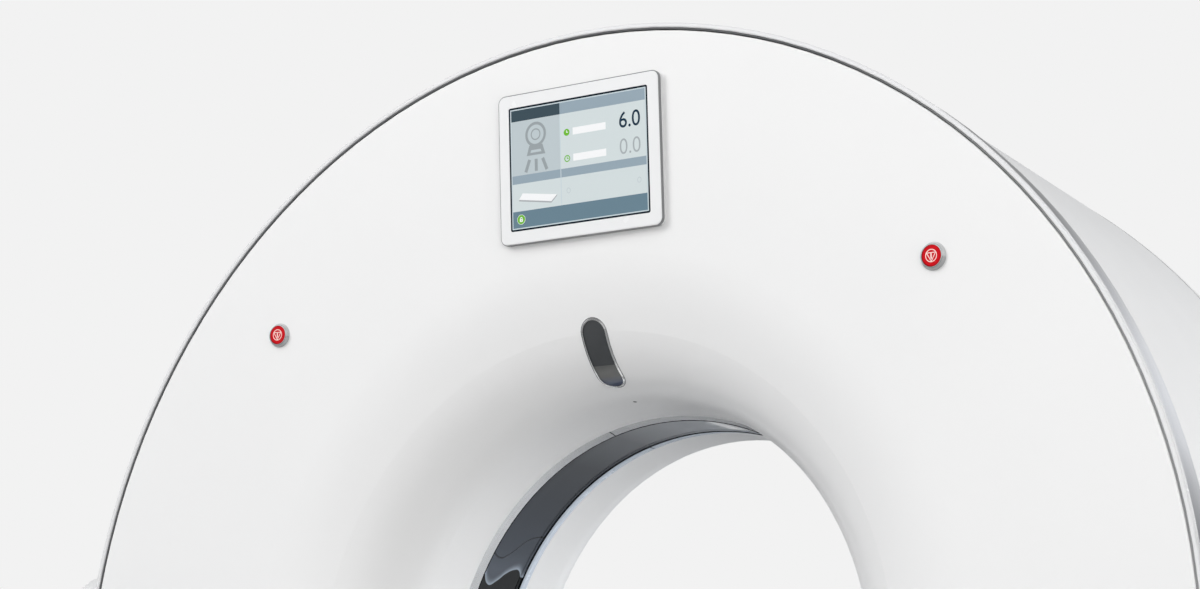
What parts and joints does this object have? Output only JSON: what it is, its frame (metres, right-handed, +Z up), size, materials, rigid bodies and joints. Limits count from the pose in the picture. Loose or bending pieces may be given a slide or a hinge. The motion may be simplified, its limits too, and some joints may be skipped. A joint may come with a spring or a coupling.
{
  "type": "ct scanner",
  "caption": "Tilting ring gantry of a CT scanner: trumpet-shaped white covers round a wide bore, rotor and drives inside, two side stands on a low floor frame.",
  "frame": {"origin": "on the floor, straight under the point where the bore axis meets the scan plane", "axes": "+X to the right seen from the front, +Y along the bore from front to back, +Z up"},
  "size_m": [1.984, 0.96, 1.827],
  "materials": {
    "white_cover": "satin",
    "display_white": "gloss",
    "screen": "gloss",
    "polished_metal": "polished",
    "satin_silver": "satin",
    "dark_window": "gloss",
    "dark_lens": "gloss",
    "black_rubber": "matte",
    "red_plastic": "gloss",
    "painted_frame": "satin",
    "machined_steel": "satin",
    "cast_aluminium": "satin",
    "drive_housing": "satin",
    "tube_housing": "satin",
    "cast_iron": "matte",
    "black_plastic": "matte",
    "track_plastic": "satin"
  },
  "bodies": {
    "root": {"base_frame": "painted_frame", "leveling_feet": "machined_steel", "stand_frame_left": "painted_frame", "stand_frame_right": "painted_frame", "stand_cover_left": "white_cover", "stand_cover_right": "white_cover", "foot_cover_left": "white_cover", "foot_cover_right": "white_cover", "plinth_cover_front": "white_cover", "plinth_cover_rear": "white_cover", "trunnion_bearing_left": "cast_iron", "trunnion_bearing_right": "cast_iron", "tilt_gearmotor": "drive_housing", "power_box": "drive_housing"},
    "gantry": {"front_cover": "white_cover", "rim_ring": "polished_metal", "trim_band": "satin_silver", "side_shell_left": "white_cover", "side_shell_right": "white_cover", "rear_cover": "white_cover", "scan_window": "dark_window", "bore_ring": "polished_metal", "bore_seal": "black_rubber", "display_bezel": "display_white", "display_screen": "screen", "lens_frame": "polished_metal", "laser_lens": "dark_lens", "microphone_port": "black_plastic", "stop_bezel_left": "polished_metal", "stop_bezel_right": "polished_metal", "cover_frame": "cast_aluminium", "gantry_frame": "painted_frame", "bearing_outer_race": "machined_steel", "drive_motor": "drive_housing", "drive_belt": "black_rubber", "brush_block": "black_plastic", "tilt_sector_gear": "machined_steel", "trunnion_left": "machined_steel", "trunnion_right": "machined_steel", "fan_frames": "black_plastic"},
    "rotor": {"rotor_disc": "cast_aluminium", "pulley_rim": "cast_aluminium", "bearing_inner_race": "machined_steel", "slip_ring": "track_plastic", "xray_tube": "tube_housing", "collimator": "machined_steel", "detector_arc": "cast_aluminium", "detector_modules": "black_plastic", "high_voltage_generator": "cast_aluminium", "heat_exchanger": "cast_aluminium", "counterweights": "cast_iron", "data_unit": "drive_housing", "rotor_power_unit": "drive_housing"},
    "stop_button_left": {"stop_button_left": "red_plastic"},
    "stop_button_right": {"stop_button_right": "red_plastic"},
    "tilt_pinion": {"tilt_pinion": "machined_steel"},
    "motor_pulley": {"motor_pulley": "machined_steel"},
    "fan_impeller_left": {"fan_impeller_left": "black_plastic"},
    "fan_impeller_right": {"fan_impeller_right": "black_plastic"}
  },
  "joints": [
    {"name": "gantry_tilt", "type": "hinge", "parent": "root", "child": "gantry", "pos_m": [0, 0, 1], "axis": [1, 0, 0], "range_deg": [-30, 30]},
    {"name": "rotor_spin", "type": "hinge", "parent": "gantry", "child": "rotor", "pos_m": [0, 0, 1], "axis": [0, 1, 0], "continuous": true},
    {"name": "tilt_pinion_spin", "type": "hinge", "parent": "root", "child": "tilt_pinion", "pos_m": [-0.935, 0, 0.8], "axis": [1, 0, 0], "range_deg": [-124, 124]},
    {"name": "motor_pulley_spin", "type": "hinge", "parent": "gantry", "child": "motor_pulley", "pos_m": [0.345, 0, 0.40244], "axis": [0, 1, 0], "continuous": true},
    {"name": "fan_left_spin", "type": "hinge", "parent": "gantry", "child": "fan_impeller_left", "pos_m": [-0.16047, 0, 1.59887], "axis": [0, 1, 0], "continuous": true},
    {"name": "fan_right_spin", "type": "hinge", "parent": "gantry", "child": "fan_impeller_right", "pos_m": [0.16047, 0, 1.59887], "axis": [0, 1, 0], "continuous": true},
    {"name": "stop_left_press", "type": "slide", "parent": "gantry", "child": "stop_button_left", "axis": [-0.0715, 0.9952, 0.0664], "range_m": [0, 0.004], "stiffness_N_per_m": 900, "springref_m": -0.001},
    {"name": "stop_right_press", "type": "slide", "parent": "gantry", "child": "stop_button_right", "axis": [0.0715, 0.9952, 0.0664], "range_m": [0, 0.004], "stiffness_N_per_m": 900, "springref_m": -0.001}
  ],
  "couplings": [
    {"joint": "tilt_pinion_spin", "follows": "gantry_tilt", "ratio": -4},
    {"joint": "motor_pulley_spin", "follows": "rotor_spin", "ratio": 8.8333}
  ]
}
